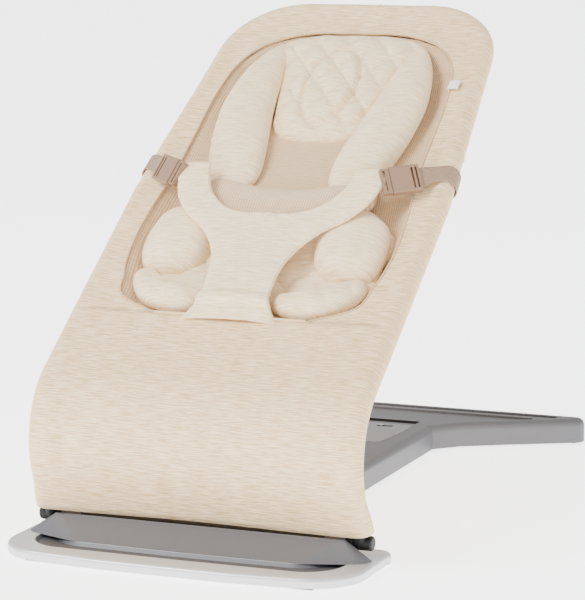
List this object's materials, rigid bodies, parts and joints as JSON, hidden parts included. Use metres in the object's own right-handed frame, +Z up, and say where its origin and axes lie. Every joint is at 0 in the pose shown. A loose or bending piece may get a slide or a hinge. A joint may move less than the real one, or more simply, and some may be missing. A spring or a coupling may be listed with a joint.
{
  "type": "baby bouncer seat",
  "caption": "Reclined baby bouncer seat: fabric cover and padded infant insert on a tube frame, hinged on a dished foot with a spine and spreading rear foot, with a harness and buckles.",
  "frame": {"origin": "middle of the footprint on the floor: centre of the bounding box in X and Y, at its lowest Z", "axes": "+X to the right seen by someone standing in front and facing the seat, +Y from the front foot to the rear foot, +Z up"},
  "size_m": [0.482, 0.829, 0.5908],
  "materials": {
    "foot_silver": "satin silver",
    "base_grey": "satin grey",
    "hub_grey": "satin light grey",
    "black_plastic": "matt black",
    "black_metal": "black powder coat",
    "pad_rubber": "matt",
    "frame_metal": "grey powder coat",
    "pin_metal": "brushed",
    "cover_fabric": "melange jersey",
    "mesh_fabric": "ribbed mesh",
    "insert_fabric": "soft jersey over filling",
    "tag_fabric": "woven label",
    "buckle_plastic": "satin taupe",
    "strap_webbing": "woven webbing"
  },
  "bodies": {
    "base": {"front_foot_shell": "foot_silver", "front_foot_ramp": "base_grey", "front_foot_rear_cover": "foot_silver", "front_foot_pads": "pad_rubber", "right_hinge_lug": "base_grey", "left_hinge_lug": "base_grey", "spine_beam": "base_grey", "hub_panel": "hub_grey", "notch_rack": "black_plastic", "rear_foot_shell": "base_grey", "slot_liner": "black_plastic", "rear_foot_inlay": "black_plastic", "rear_foot_pads": "pad_rubber"},
    "seat": {"hinge_shaft": "black_metal", "right_hinge_cap": "black_plastic", "left_hinge_cap": "black_plastic", "right_side_tube": "frame_metal", "left_side_tube": "frame_metal", "right_sleeve": "cover_fabric", "left_sleeve": "cover_fabric", "head_bow_tube": "frame_metal", "head_sleeve": "cover_fabric", "mid_crossbar": "frame_metal", "right_crossbar_bracket": "frame_metal", "left_crossbar_bracket": "frame_metal", "apron": "cover_fabric", "back_border": "cover_fabric", "seat_mesh": "mesh_fabric", "side_tag": "tag_fabric", "insert_mesh": "mesh_fabric", "head_roll": "insert_fabric", "head_pillow": "insert_fabric", "right_torso_bolster": "insert_fabric", "left_torso_bolster": "insert_fabric", "lumbar_roll": "mesh_fabric", "seat_cushion": "insert_fabric", "right_leg_bolster": "insert_fabric", "left_leg_bolster": "insert_fabric", "restraint_panel": "insert_fabric", "right_buckle_socket": "buckle_plastic", "left_buckle_socket": "buckle_plastic", "right_strap": "strap_webbing", "left_strap": "strap_webbing"},
    "prop": {"prop_wire": "frame_metal", "prop_foot_sleeve": "black_plastic"},
    "right_prong": {"right_buckle_prong": "buckle_plastic"},
    "left_prong": {"left_buckle_prong": "buckle_plastic"},
    "pin": {"lock_pin": "pin_metal"}
  },
  "joints": [
    {"name": "seat_hinge", "type": "hinge", "parent": "base", "child": "seat", "pos_m": [0, -0.296, 0.03], "axis": [1, 0, 0], "range_deg": [-40, 8]},
    {"name": "prop_hinge", "type": "hinge", "parent": "seat", "child": "prop", "pos_m": [0, 0.0304, 0.39532], "axis": [1, 0, 0], "range_deg": [-12, 2.4]},
    {"name": "right_buckle_release", "type": "slide", "parent": "seat", "child": "right_prong", "axis": [-0.8192, -0.5662, -0.0915], "range_m": [0, 0.022]},
    {"name": "left_buckle_release", "type": "slide", "parent": "seat", "child": "left_prong", "axis": [0.8192, -0.5662, -0.0915], "range_m": [0, 0.022]},
    {"name": "lock_pin_slide", "type": "slide", "parent": "base", "child": "pin", "axis": [1, 0, 0], "range_m": [0, 0.009], "stiffness_N_per_m": 200, "springref_m": -0.002}
  ],
  "couplings": [
    {"joint": "prop_hinge", "follows": "seat_hinge", "ratio": 0.3}
  ]
}
